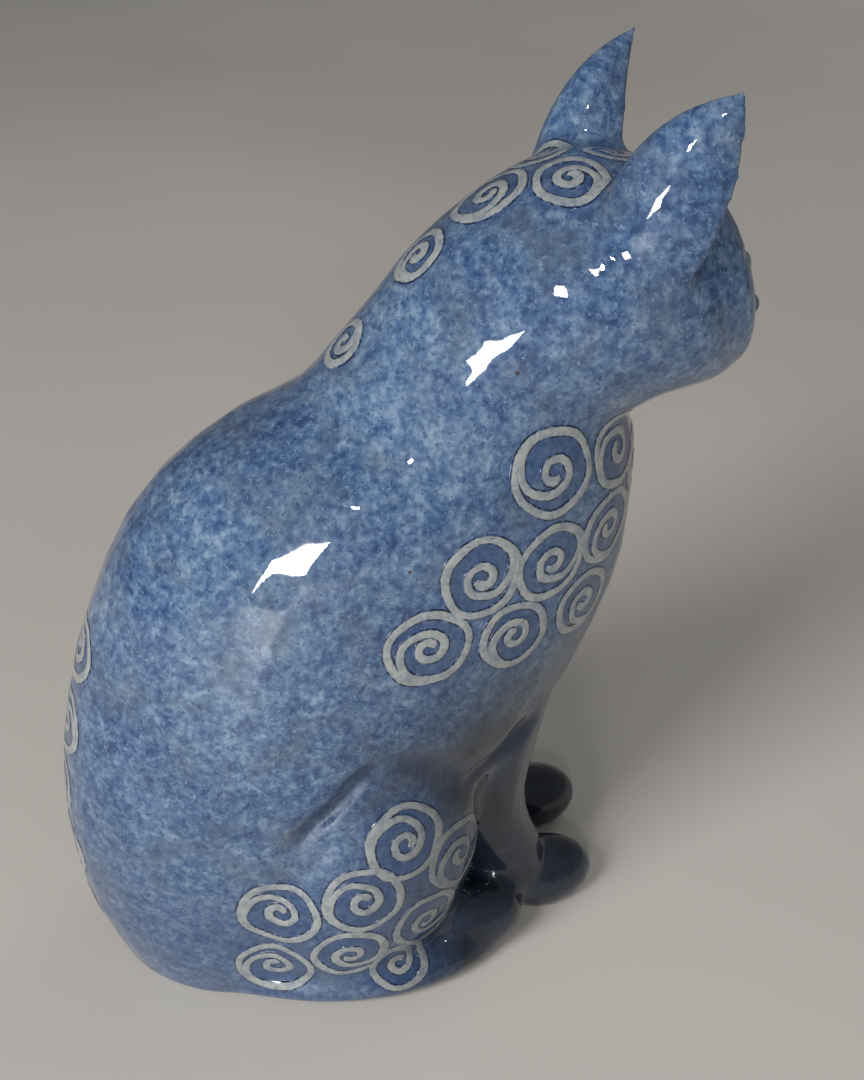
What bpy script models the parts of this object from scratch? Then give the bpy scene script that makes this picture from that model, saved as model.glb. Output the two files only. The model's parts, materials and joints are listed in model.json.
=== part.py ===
"""Seated ceramic cat, built hollow from separate clay pieces that are luted together.

Metres, +Z up. The cat faces -Y and its left side is +X. The origin is on the
underside of the base slab, midway along the torso's footprint.
"""

import math

import bmesh
import bpy
from mathutils import Matrix, Vector

# Overall sizes
TORSO_HEIGHT = 0.161
TORSO_LENGTH = 0.110
TORSO_WIDTH = 0.078
HEAD_LENGTH = 0.100
HEAD_HEIGHT = 0.060
HEAD_WIDTH = 0.063

# Hollow build
WALL = 0.0045
SLAB_THICKNESS = 0.005
VENT_RADIUS = 0.006
VENT_SETBACK = 0.022
JOINT_GAP = 0.0003

# Ears
EAR_LENGTH = 0.037
EAR_THICKNESS = 0.0038
EAR_SWELL = 0.0042

# Face: half sizes of the pressed pellets, and how deep each is set into the head
EYE_SIZE = (0.0054, 0.0030, 0.0034)
EYE_TURN = 40.0
EYE_DEPTH = 0.0023
NOSE_SIZE = (0.0044, 0.0046, 0.0032)
NOSE_REACH = 0.0044
NOSE_DROP = 0.0040
MUZZLE_SIZE = (0.0100, 0.0080, 0.0075)
MUZZLE_DEPTH = 0.003
MUZZLE_DROP = 0.0055
SNOUT_POINT = 0.002

# Forelegs
LEG_SPREAD = 0.0135
LEG_RADIUS = 0.0098
SHOULDER_RADIUS = 0.0135
SHOULDER_DEPTH = 0.010
KNEE_DEPTH = 0.005
KNEE_THICKENING = 1.1
ANKLE_REACH = 0.004
PAW_SIZE = (0.0100, 0.0150, 0.0100)
LEFT_PAW_LEAD = 0.0058
LEFT_PAW_TUCK = 0.004

# Hindquarters
HAUNCH_SIZE = (0.0160, 0.0285, 0.0420)
HAUNCH_TILT = 14.0
HAUNCH_PROUD = 0.0075
HAUNCH_SETBACK = 0.003
HIND_PAW_SPREAD = 0.0265
HIND_PAW_REACH = 0.027
HIND_PAW_SIZE = (0.0098, 0.0160, 0.0105)

# Tail
TAIL_RADIUS = 0.0055
TAIL_TIP_RADIUS = 0.0050

# Torso sections from the foot to the neck. Each has the point of the back line and
# the point of the front line, as shares of the torso's length (y) and height (z),
# and the width as a share of the torso's width.
TORSO_SECTIONS = (
    ((0.415, 0.00), (-0.427, 0.00), 0.83),
    ((0.472, 0.14), (-0.455, 0.11), 0.89),
    ((0.485, 0.31), (-0.490, 0.24), 0.94),
    ((0.450, 0.48), (-0.582, 0.36), 0.97),
    ((0.372, 0.65), (-0.686, 0.48), 0.94),
    ((0.258, 0.80), (-0.765, 0.62), 0.88),
    ((0.100, 0.89), (-0.780, 0.74), 0.82),
    ((-0.062, 0.935), (-0.775, 0.84), 0.74),
    ((-0.155, 1.00), (-0.755, 0.89), 0.68),
)

# Head sections from the neck to the muzzle, measured from the middle of the neck
# joint as shares of the head's length (y), height (z) and width.
HEAD_SECTIONS = (
    ((0.250, 0.290), (-0.365, -0.128), 0.84),
    ((0.170, 0.445), (-0.400, -0.104), 0.88),
    ((0.07, 0.58), (-0.440, -0.090), 0.93),
    ((-0.05, 0.70), (-0.480, -0.082), 0.96),
    ((-0.19, 0.77), (-0.510, -0.074), 0.92),
    ((-0.33, 0.73), (-0.533, -0.062), 0.80),
    ((-0.455, 0.670), (-0.550, -0.041), 0.71),
    ((-0.515, 0.535), (-0.562, -0.016), 0.55),
    ((-0.540, 0.36), (-0.570, 0.016), 0.40),
    ((-0.555, 0.21), (-0.575, 0.054), 0.26),
)

# The tail's route round the right foot, as shares of the torso's half width and length.
TAIL_ROUTE = (
    (-0.50, 0.26),
    (-0.71, 0.12),
    (-0.86, -0.01),
    (-0.94, -0.165),
    (-0.90, -0.30),
    (-0.78, -0.40),
    (-0.64, -0.47),
)

NECK = len(TORSO_SECTIONS) - 1

# Sections at the muzzle end that stay solid clay
MUZZLE_SECTIONS = 2.4

# Where things seat on the cat's form: the section, then the share of a turn round it
# from the back line
EAR_RIDGE_SEAT = (NECK + 4.4, 0.11)
EAR_INNER_SEAT = (NECK + 6.0, 0.065)
EAR_OUTER_SEAT = (NECK + 4.95, 0.22)
EYE_SEAT = (NECK + 8.2, 0.155)
HAUNCH_SEAT = (2, 0.30)

# Directions in which an ear rises and its three edges bow out, on the cat's left
EAR_RISE = (0.16, -0.70, 0.69)
RIDGE_BOW = (0.1, 0.75, 0.95)
INNER_BOW = (-0.3, 0.4, 0.3)
OUTER_BOW = (0.8, -0.45, 0)

# Shares of a ball's or a coil's half height at which its middle lies above the ground
PAW_SINK = 0.62
HIND_PAW_SINK = 0.75
HAUNCH_SINK = 0.86
TAIL_SINK = 0.85

# The foreleg's splay at the knee, ankle and paw
SPLAY = (1.04, 1.10, 1.15)

# Resolution
TORSO_RINGS = 20
HEAD_RINGS = 20
RING_POINTS = 36
LIMB_RINGS = 12
LIMB_POINTS = 16
BALL_RINGS = 10
BALL_POINTS = 18
EAR_RINGS = 10
EAR_POINTS = 10
VENT_POINTS = 24

# The shares of an ear's length at which it starts inside the head and is last ringed
EAR_ROOT = -0.22
EAR_LAST_RING = 0.95

# The most of an ear's half width that its wall takes up, so that the cup stays open
EAR_WALL_SHARE = 0.45

# How far forms run on past an open end before the end is cut flat, in sections
RUN_ON = 0.35
BLOCK_SIZE = 0.5

GLAZE = (0.115, 0.205, 0.400)
GLAZE_ROUGHNESS = 0.10
BARE_CLAY = (0.620, 0.560, 0.480)
CLAY_ROUGHNESS = 0.80

# Faces that meet at more than this many degrees keep a sharp edge
SHARP_ANGLE = 50


def clear_scene():
    for obj in list(bpy.data.objects):
        bpy.data.objects.remove(obj, do_unlink=True)


def make_material(name, colour, roughness):
    material = bpy.data.materials.new(name)
    material.use_nodes = True
    shader = material.node_tree.nodes["Principled BSDF"]
    shader.inputs["Base Color"].default_value = (*colour, 1.0)
    shader.inputs["Roughness"].default_value = roughness
    shader.inputs["Metallic"].default_value = 0.0
    return material


def smooth_value(values, t):
    """A Catmull-Rom curve through evenly spaced values, run on straight past its ends."""
    last = len(values) - 1
    if t <= 0:
        return values[0] + (values[1] - values[0]) * t
    if t >= last:
        return values[last] + (values[last] - values[last - 1]) * (t - last)
    i = int(t)
    u = t - i
    before = values[i - 1] if i else 2 * values[0] - values[1]
    after = values[i + 2] if i + 2 <= last else 2 * values[last] - values[last - 1]
    a, b = values[i], values[i + 1]
    slope_a = (b - before) / 2
    slope_b = (after - a) / 2
    return (
        a * (2 * u**3 - 3 * u**2 + 1)
        + slope_a * (u**3 - 2 * u**2 + u)
        + b * (3 * u**2 - 2 * u**3)
        + slope_b * (u**3 - u**2)
    )


class Form:
    """A body of oval sections strung between a back line and a front line."""

    def __init__(self, sections):
        self.back = [back for back, _, _ in sections]
        self.front = [front for _, front, _ in sections]
        self.half_width = [half_width for _, _, half_width in sections]
        self.last = len(sections) - 1

    def point(self, t, turn):
        """A surface point: turn 0 is the back line, 0.25 the left, 0.5 the front line."""
        back = smooth_value(self.back, t)
        front = smooth_value(self.front, t)
        half_width = smooth_value(self.half_width, t)
        angle = 2 * math.pi * turn
        middle = (back + front) / 2
        return middle + (back - front) / 2 * math.cos(angle) + Vector((half_width * math.sin(angle), 0, 0))

    def middle(self, t):
        return (smooth_value(self.back, t) + smooth_value(self.front, t)) / 2

    def ring(self, t, count):
        return [self.point(t, i / count) for i in range(count)]


def side_point(y, z):
    return Vector((0, y, z))


def cat_form():
    """The torso's sections and the head's in one run, so that the neck is smooth."""
    sections = []
    for (back_y, back_z), (front_y, front_z), width in TORSO_SECTIONS:
        back = side_point(back_y * TORSO_LENGTH, back_z * TORSO_HEIGHT)
        front = side_point(front_y * TORSO_LENGTH, front_z * TORSO_HEIGHT)
        sections.append((back, front, width * TORSO_WIDTH / 2))
    neck = (sections[-1][0] + sections[-1][1]) / 2
    for (back_y, back_z), (front_y, front_z), width in HEAD_SECTIONS:
        back = neck + side_point(back_y * HEAD_LENGTH, back_z * HEAD_HEIGHT)
        front = neck + side_point(front_y * HEAD_LENGTH, front_z * HEAD_HEIGHT)
        sections.append((back, front, width * HEAD_WIDTH / 2))
    return Form(sections)


def new_object(name, mesh, material=None):
    obj = bpy.data.objects.new(name, mesh)
    bpy.context.collection.objects.link(obj)
    if material:
        mesh.materials.append(material)
    else:
        obj.hide_render = True
        obj.display_type = "WIRE"
    return obj


def object_from_bmesh(name, bm, material=None, swell=0.0):
    """Turns a bmesh into an object, its surface moved out by swell."""
    bmesh.ops.recalc_face_normals(bm, faces=bm.faces)
    bm.normal_update()
    if swell:
        for vert, normal in [(vert, vert.normal.copy()) for vert in bm.verts]:
            vert.co += normal * swell
    mesh = bpy.data.meshes.new(name)
    bm.to_mesh(mesh)
    bm.free()
    mesh.shade_smooth()
    mesh.set_sharp_from_angle(angle=math.radians(SHARP_ANGLE))
    return new_object(name, mesh, material)


def loft(rings, tip=None):
    """A closed bmesh through rings of points, its far end flat or drawn to a tip."""
    bm = bmesh.new()
    loops = [[bm.verts.new(point) for point in ring] for ring in rings]
    count = len(loops[0])
    for near, far in zip(loops, loops[1:]):
        for i in range(count):
            j = (i + 1) % count
            bm.faces.new((near[i], near[j], far[j], far[i]))
    bm.faces.new(loops[0])
    if tip is None:
        bm.faces.new(loops[-1])
    else:
        apex = bm.verts.new(tip)
        for i in range(count):
            bm.faces.new((loops[-1][i], loops[-1][(i + 1) % count], apex))
    return bm


def form_object(name, form, rings, start, end, swell=0.0, material=None, tip=None):
    steps = [start + (end - start) * i / rings for i in range(rings + 1)]
    bm = loft([form.ring(t, RING_POINTS) for t in steps], tip)
    return object_from_bmesh(name, bm, material, swell)


def ball(name, middle, radii, turn=None, material=None, swell=0.0):
    """An ellipsoid pressed from a ball of clay."""
    bm = bmesh.new()
    bmesh.ops.create_uvsphere(bm, u_segments=BALL_POINTS, v_segments=BALL_RINGS, radius=1.0)
    grown = [radius + swell for radius in radii]
    bmesh.ops.scale(bm, vec=grown, verts=bm.verts)
    if turn:
        bmesh.ops.rotate(bm, matrix=turn, verts=bm.verts)
    bmesh.ops.translate(bm, vec=middle, verts=bm.verts)
    return object_from_bmesh(name, bm, material)


def limb(name, path, radii, material=None, swell=0.0):
    """A rolled clay coil along a smooth path, its far end round."""
    last = len(path) - 1
    rings = []
    for step in range(LIMB_RINGS + 1):
        t = last * step / LIMB_RINGS
        middle = smooth_value(path, t)
        along = (smooth_value(path, t + 0.01) - smooth_value(path, t - 0.01)).normalized()
        radius = smooth_value(radii, t) + swell
        rings.append(circle(middle, along, radius))
    end = path[-1]
    radius = radii[-1] + swell
    for angle in (30, 60):
        lift = radius * math.sin(math.radians(angle))
        rings.append(circle(end + along * lift, along, radius * math.cos(math.radians(angle))))
    return object_from_bmesh(name, loft(rings, end + along * radius), material)


def circle(middle, along, radius):
    across = along.cross(Vector((1, 0, 0) if abs(along.x) < 0.7 else (0, 0, 1))).normalized()
    other = along.cross(across)
    points = []
    for i in range(LIMB_POINTS):
        angle = 2 * math.pi * i / LIMB_POINTS
        points.append(middle + across * radius * math.cos(angle) + other * radius * math.sin(angle))
    return points


def block(name, face_point, outward):
    """A large box whose one face passes through a point; it lies on the outward side."""
    bm = bmesh.new()
    bmesh.ops.create_cube(bm, size=BLOCK_SIZE)
    turn = outward.to_track_quat("Z", "Y").to_matrix().to_4x4()
    shift = Matrix.Translation(face_point + outward * BLOCK_SIZE / 2)
    bmesh.ops.transform(bm, matrix=shift @ turn, verts=bm.verts)
    return object_from_bmesh(name, bm)


def cut(obj, *cutters):
    for cutter in cutters:
        modifier = obj.modifiers.new("cut by " + cutter.name, "BOOLEAN")
        modifier.operation = "DIFFERENCE"
        modifier.solver = "EXACT"
        modifier.object = cutter


def fuse(obj, other):
    modifier = obj.modifiers.new("fused with " + other.name, "BOOLEAN")
    modifier.operation = "UNION"
    modifier.solver = "EXACT"
    modifier.object = other


def build_torso(cat, floor, neck_top, glaze):
    """The hollow torso, open at the foot and at the neck."""
    shell = form_object("torso_shell", cat, TORSO_RINGS, -RUN_ON, NECK + RUN_ON, material=glaze)
    hollow = form_object("torso_hollow", cat, TORSO_RINGS, -2 * RUN_ON, NECK + 2 * RUN_ON, swell=-WALL)
    cut(shell, floor, neck_top, hollow)


def build_base_slab(cat, floor, clay):
    """The bare clay plate that closes the foot, inside the torso's wall."""
    slab = form_object("base_slab", cat, TORSO_RINGS, -2 * RUN_ON, 2, swell=-WALL - JOINT_GAP, material=clay)
    above = block("above_slab", Vector((0, 0, SLAB_THICKNESS)), Vector((0, 0, 1)))
    bm = bmesh.new()
    bmesh.ops.create_cone(
        bm,
        cap_ends=True,
        segments=VENT_POINTS,
        radius1=VENT_RADIUS,
        radius2=VENT_RADIUS,
        depth=4 * SLAB_THICKNESS,
    )
    bmesh.ops.translate(bm, vec=(0, VENT_SETBACK, 0), verts=bm.verts)
    vent = object_from_bmesh("vent_cutter", bm)
    cut(slab, floor, above, vent)


def muzzle_end(cat):
    return cat.middle(cat.last) + Vector((0, -SNOUT_POINT, 0))


def build_head(cat, neck_underside, glaze):
    """The hollow head, open at the neck and closed by a round muzzle."""
    shell = form_object(
        "head_shell", cat, HEAD_RINGS, NECK - RUN_ON, cat.last, material=glaze, tip=muzzle_end(cat)
    )
    hollow = form_object(
        "head_hollow", cat, HEAD_RINGS, NECK - 2 * RUN_ON, cat.last - MUZZLE_SECTIONS, swell=-WALL
    )
    cut(shell, neck_underside, hollow)


def ear_edge(foot, tip, swell, rise):
    """A point of an ear's edge, which bows out by swell between its foot and the tip."""
    return foot.lerp(tip, rise) + swell * 4 * rise * (1 - rise)


def ear_ring(inner, ridge, outer, thickness):
    """The outline of a deep cup of clay from the inner edge, round the ridge, to the outer edge."""
    middle = (inner + outer) / 2
    half = (outer - inner) / 2
    depth = ridge - middle
    wall = min(thickness, EAR_WALL_SHARE * half.length)
    narrow = 1 - wall / half.length
    shallow = 1 - wall / depth.length
    turns = [-math.pi / 2 + math.pi * i / EAR_POINTS for i in range(EAR_POINTS + 1)]
    back = [middle + half * math.sin(a) + depth * math.cos(a) for a in turns]
    hollow = [middle + half * narrow * math.sin(a) + depth * shallow * math.cos(a) for a in turns]
    return back + hollow[::-1]


def seat(cat, place, side):
    section, turn = place
    return cat.point(section, side * turn)


def on_side(direction, side):
    """A direction given for the cat's left, turned for the side it is used on."""
    x, y, z = direction
    return Vector((side * x, y, z))


def build_ear(name, side, cat, head_cutter, glaze):
    """A deep-cupped ear that stands on the head and opens to the front."""
    ridge_foot = seat(cat, EAR_RIDGE_SEAT, side)
    inner_foot = seat(cat, EAR_INNER_SEAT, side)
    outer_foot = seat(cat, EAR_OUTER_SEAT, side)
    tip = ridge_foot + on_side(EAR_RISE, side).normalized() * EAR_LENGTH
    rings = []
    for step in range(EAR_RINGS):
        rise = EAR_ROOT + (EAR_LAST_RING - EAR_ROOT) * step / (EAR_RINGS - 1)
        rings.append(
            ear_ring(
                ear_edge(inner_foot, tip, on_side(INNER_BOW, side) * EAR_SWELL, rise),
                ear_edge(ridge_foot, tip, on_side(RIDGE_BOW, side) * EAR_SWELL, rise),
                ear_edge(outer_foot, tip, on_side(OUTER_BOW, side) * EAR_SWELL, rise),
                EAR_THICKNESS,
            )
        )
    ear = object_from_bmesh(name, loft(rings, tip), glaze)
    cut(ear, head_cutter)


def build_face(cat, head_cutter, glaze):
    muzzle_middle = cat.middle(cat.last) + Vector((0, MUZZLE_DEPTH, -MUZZLE_DROP))
    muzzle = ball("muzzle", muzzle_middle, MUZZLE_SIZE, material=glaze)
    muzzle_cutter = ball("muzzle_cutter", muzzle_middle, MUZZLE_SIZE, swell=JOINT_GAP)
    cut(muzzle, head_cutter)
    nose_middle = cat.point(cat.last, 0) + Vector((0, -NOSE_REACH, -NOSE_DROP))
    nose = ball("nose", nose_middle, NOSE_SIZE, material=glaze)
    cut(nose, head_cutter, muzzle_cutter)
    for name, side in (("left_eye", 1), ("right_eye", -1)):
        turn = Matrix.Rotation(math.radians(EYE_TURN) * side, 3, "Z")
        inward = turn @ Vector((0, EYE_DEPTH, 0))
        eye = ball(name, seat(cat, EYE_SEAT, side) + inward, EYE_SIZE, turn=turn, material=glaze)
        cut(eye, head_cutter)


def foreleg_parts(side, cat, lead, tuck):
    """The path and radii of a foreleg, and the middle of its paw."""
    chest = cat.front
    x = side * LEG_SPREAD
    knee_splay, ankle_splay, paw_splay = SPLAY
    top = Vector((x, chest[4].y + SHOULDER_RADIUS + SHOULDER_DEPTH, chest[4].z))
    knee = Vector((x * knee_splay, chest[3].y + LEG_RADIUS + KNEE_DEPTH, chest[2].z))
    ankle = Vector((x * ankle_splay - side * tuck / 2, chest[2].y - ANKLE_REACH - lead / 2, LEG_RADIUS))
    radii = [SHOULDER_RADIUS, LEG_RADIUS * KNEE_THICKENING, LEG_RADIUS]
    paw_y = ankle.y - PAW_SIZE[1] / 2 - lead / 2
    paw = Vector((x * paw_splay - side * tuck, paw_y, PAW_SIZE[2] * PAW_SINK))
    return [top, knee, ankle], radii, paw


def build_forelegs(cat, torso_cutter, floor, glaze):
    cutters = []
    for name, side, lead, tuck in (
        ("left_foreleg", 1, LEFT_PAW_LEAD, LEFT_PAW_TUCK),
        ("right_foreleg", -1, 0.0, 0.0),
    ):
        path, radii, paw = foreleg_parts(side, cat, lead, tuck)
        leg = limb(name, path, radii, glaze)
        fuse(leg, ball(name + "_paw", paw, PAW_SIZE))
        cut(leg, torso_cutter, floor)
        cutters.append(limb(name + "_cutter", path, radii, swell=JOINT_GAP))
        cutters.append(ball(name + "_paw_cutter", paw, PAW_SIZE, swell=JOINT_GAP))
    return cutters


def build_tail(torso_cutter, leg_cutters, floor, glaze):
    """The tail lies round the right foot of the torso, its tip beside the paws."""
    height = TAIL_RADIUS * TAIL_SINK
    path = [Vector((x * TORSO_WIDTH / 2, y * TORSO_LENGTH, height)) for x, y in TAIL_ROUTE]
    radii = [TAIL_RADIUS] * (len(path) - 1) + [TAIL_TIP_RADIUS]
    tail = limb("tail", path, radii, glaze)
    cut(tail, torso_cutter, floor, *leg_cutters)
    return limb("tail_cutter", path, radii, swell=JOINT_GAP)


def build_hindquarters(cat, torso_cutter, leg_cutters, tail_cutter, floor, glaze):
    """On each side a haunch on the flank and a paw under it; the tail lies over the right ones."""
    for word, side, over in (("left", 1, []), ("right", -1, [tail_cutter])):
        flank = seat(cat, HAUNCH_SEAT, side)
        inset = side * (HAUNCH_SIZE[0] - HAUNCH_PROUD)
        middle = Vector((flank.x - inset, flank.y + HAUNCH_SETBACK, HAUNCH_SIZE[2] * HAUNCH_SINK))
        turn = Matrix.Rotation(math.radians(HAUNCH_TILT), 3, "X")
        haunch = ball(word + "_haunch", middle, HAUNCH_SIZE, turn=turn, material=glaze)
        haunch_cutter = ball(word + "_haunch_cutter", middle, HAUNCH_SIZE, turn=turn, swell=JOINT_GAP)
        cut(haunch, torso_cutter, floor, *leg_cutters, *over)
        paw_y = middle.y - HIND_PAW_REACH
        paw_middle = Vector((side * HIND_PAW_SPREAD, paw_y, HIND_PAW_SIZE[2] * HIND_PAW_SINK))
        paw = ball(word + "_hind_paw", paw_middle, HIND_PAW_SIZE, material=glaze)
        cut(paw, torso_cutter, haunch_cutter, floor, *leg_cutters, *over)


def main():
    clear_scene()
    glaze = make_material("blue_glaze", GLAZE, GLAZE_ROUGHNESS)
    clay = make_material("bare_clay", BARE_CLAY, CLAY_ROUGHNESS)
    cat = cat_form()

    neck_up = Vector((1, 0, 0)).cross(cat.back[NECK] - cat.front[NECK]).normalized()
    floor = block("floor_cutter", Vector((0, 0, 0)), Vector((0, 0, -1)))
    neck_top = block("neck_top_cutter", cat.middle(NECK) - neck_up * JOINT_GAP / 2, neck_up)
    neck_underside = block("neck_underside_cutter", cat.middle(NECK) + neck_up * JOINT_GAP / 2, -neck_up)
    torso_cutter = form_object(
        "torso_cutter", cat, TORSO_RINGS, -2 * RUN_ON, NECK + RUN_ON, swell=JOINT_GAP
    )
    head_cutter = form_object(
        "head_cutter", cat, HEAD_RINGS, NECK - RUN_ON, cat.last, swell=JOINT_GAP, tip=muzzle_end(cat)
    )

    build_torso(cat, floor, neck_top, glaze)
    build_base_slab(cat, floor, clay)
    build_head(cat, neck_underside, glaze)
    for name, side in (("left_ear", 1), ("right_ear", -1)):
        build_ear(name, side, cat, head_cutter, glaze)
    build_face(cat, head_cutter, glaze)
    leg_cutters = build_forelegs(cat, torso_cutter, floor, glaze)
    tail_cutter = build_tail(torso_cutter, leg_cutters, floor, glaze)
    build_hindquarters(cat, torso_cutter, leg_cutters, tail_cutter, floor, glaze)


main()
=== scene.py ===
import json
import math
import random

import bmesh
import bpy
from mathutils import Matrix, Vector
from mathutils.bvhtree import BVHTree
from mathutils.kdtree import KDTree

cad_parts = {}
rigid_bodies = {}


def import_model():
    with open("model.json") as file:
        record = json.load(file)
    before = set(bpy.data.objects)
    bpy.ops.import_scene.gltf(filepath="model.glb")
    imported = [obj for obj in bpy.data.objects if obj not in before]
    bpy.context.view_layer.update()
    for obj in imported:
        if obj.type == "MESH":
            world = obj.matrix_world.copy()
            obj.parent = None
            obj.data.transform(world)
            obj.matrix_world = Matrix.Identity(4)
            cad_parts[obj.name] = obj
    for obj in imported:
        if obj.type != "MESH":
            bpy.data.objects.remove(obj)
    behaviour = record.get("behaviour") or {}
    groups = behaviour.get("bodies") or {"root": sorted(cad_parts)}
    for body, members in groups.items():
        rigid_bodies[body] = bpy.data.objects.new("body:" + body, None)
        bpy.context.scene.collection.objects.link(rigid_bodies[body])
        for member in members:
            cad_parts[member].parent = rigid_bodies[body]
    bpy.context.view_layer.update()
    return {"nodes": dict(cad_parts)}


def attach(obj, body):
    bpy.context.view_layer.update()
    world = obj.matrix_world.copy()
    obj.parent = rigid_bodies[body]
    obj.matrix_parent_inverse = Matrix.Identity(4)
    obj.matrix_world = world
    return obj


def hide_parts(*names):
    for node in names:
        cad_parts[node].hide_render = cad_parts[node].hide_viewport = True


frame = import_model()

MM = 0.001

# Clay body. The pieces are luted together with slip and smoothed over with a sponge.
CLAY_NODES = (
    "torso_shell",
    "head_shell",
    "left_ear",
    "right_ear",
    "muzzle",
    "left_foreleg",
    "right_foreleg",
    "left_haunch",
    "right_haunch",
    "left_hind_paw",
    "right_hind_paw",
    "tail",
)
WELD = 0.01 * MM
LUTE = 0.3 * MM
CLAY_GRAIN = 1.06 * MM
SPONGE_FACTOR = 0.5
SPONGE_PASSES = 5
JOINT_SPONGE_PASSES = 22
JOINT_SPONGE_GAIN = 1.6
JOINT_REACH = 6.0 * MM
GLAZE_INSET = 0.28 * MM
FOOT_FLAT = 0.7 * MM

# A wall's skin, and the share of a thin wall that the surface may be moved through
CLAY_SKIN = 0.3 * MM
JUST_INSIDE = 0.05 * MM
WALL_SHARE = 0.3

# How far a single point on a rim may stand out from its neighbours
BARB = 0.3 * MM
BARB_PASSES = 4

# How far the surface bends where glaze has begun to pool in a hollow or to run off a rim,
# and where it is fully pooled or thin
POOLED_BEND = (0.03, 0.15)
THIN_BEND = (0.12, 0.26)
BEND_PASSES = 6

# Where the smoked glaze and painted shade start and where they are fully dark, going down and going
# forward
SMOKE_AND_SHADE_DOWN = (106 * MM, 72 * MM)
SMOKE_AND_SHADE_FORWARD = (-4 * MM, -38 * MM)

# The glaze is darker round the eyes and nose, and the eyes are pressed in
PELLET_SHADE = 0.3
PELLET_ROUNDING = 2
EYE_SINK = 0.6 * MM

# Slip-trailed spirals
LINE_HALF_WIDTH = 0.82 * MM
EDGE_HALF_WIDTH = 0.62 * MM
LINE_RELIEF = 0.22 * MM
LINE_ROUNDNESS = 2.4
LINE_BITE = 0.04 * MM
LINE_ROOT = 0.5 * MM
LINE_STEP = 0.7 * MM
LINE_STRIPS = 10
LINE_POINTS = 160
WALK_STEP = 1.5 * MM
END_RADIUS_SHARE = 0.13
INNER_RING_SHARE = 0.60
JOIN_FROM = 0.70

# How a hand-drawn line differs from a true spiral, as shares of its radius or width
SQUASH = (0.94, 1.04)
SLOW_WAVER = 0.030
QUICK_WAVER = 0.018
INNER_WAVER = 0.05
INNER_WAVER_PACE = 1.7
THICKENING = 0.10
THICKENING_PACE = 4.1 * MM
END_BLOB = 0.42
END_BLOB_REACH = 3 * MM
LEAST_END = 0.02

# The clay inside a spiral is darker: where that starts and where it is full, from its ring
FIELD_EDGE = (1.5 * MM, -1.0 * MM)
NEAR_FIELDS = 3

# Glaze, by the size of each pattern in it
GRAIN_SIZE = 1.7 * MM
BLOT_SIZE = 3.6 * MM
DRIFT_SIZE = 30 * MM
SMOKE_SIZE = 17 * MM
FLECK_SIZE = 0.9 * MM
DOT_SIZE = 1.1 * MM
WAVE_SIZE = 9 * MM
WAVE_DEPTH = 0.17 * MM
PEEL_SIZE = 1.3 * MM
PEEL_DEPTH = 0.012 * MM
DULL_SIZE = 9 * MM
GLOSS_ROUGHNESS = 0.42
DULL_ROUGHNESS = 0.15
UNDERGLAZE_SPECULAR = 0.1
COAT_ROUGHNESS = 0.03
# Painted shade towards the foot: full below the first height and gone above the second
FOOT_SHADE = (4 * MM, 85 * MM)
# How the smoked glaze and painted shade on the front legs vary
SMOKE_AND_SHADE_DRIFT_SIZE = 11 * MM
THIN_PATCH_SIZE = 2.2 * MM
IRON_SPACING = 8 * MM
IRON_EDGE = (0.045, 0.075)
IRON_CHOICE = (0.80, 0.82)

# White slip, by the size of each pattern in it
STAIN_SIZE = 2.4 * MM
SPECK_SIZE = 0.8 * MM
RAGGED_SIZE = 0.9 * MM
EDGE_DOT_SIZE = 1.3 * MM
SLIP_EDGE = (0.54, 0.70)

# Bare clay
GROG_SIZE = 1.2 * MM
GROG_DEPTH = 0.10 * MM
CLOUD_SIZE = 14 * MM


# --- Shader recipes ---------------------------------------------------------------------


class Wire:
    """A node's output that sums are written with."""

    def __init__(self, recipe, socket):
        self.recipe = recipe
        self.socket = socket

    def sum(self, operation, first, second):
        return self.recipe.node("ShaderNodeMath", {"operation": operation}, {0: first, 1: second})

    def __add__(self, other):
        return self.sum("ADD", self, other)

    def __radd__(self, other):
        return self.sum("ADD", other, self)

    def __sub__(self, other):
        return self.sum("SUBTRACT", self, other)

    def __rsub__(self, other):
        return self.sum("SUBTRACT", other, self)

    def __mul__(self, other):
        return self.sum("MULTIPLY", self, other)

    def __rmul__(self, other):
        return self.sum("MULTIPLY", other, self)


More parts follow.
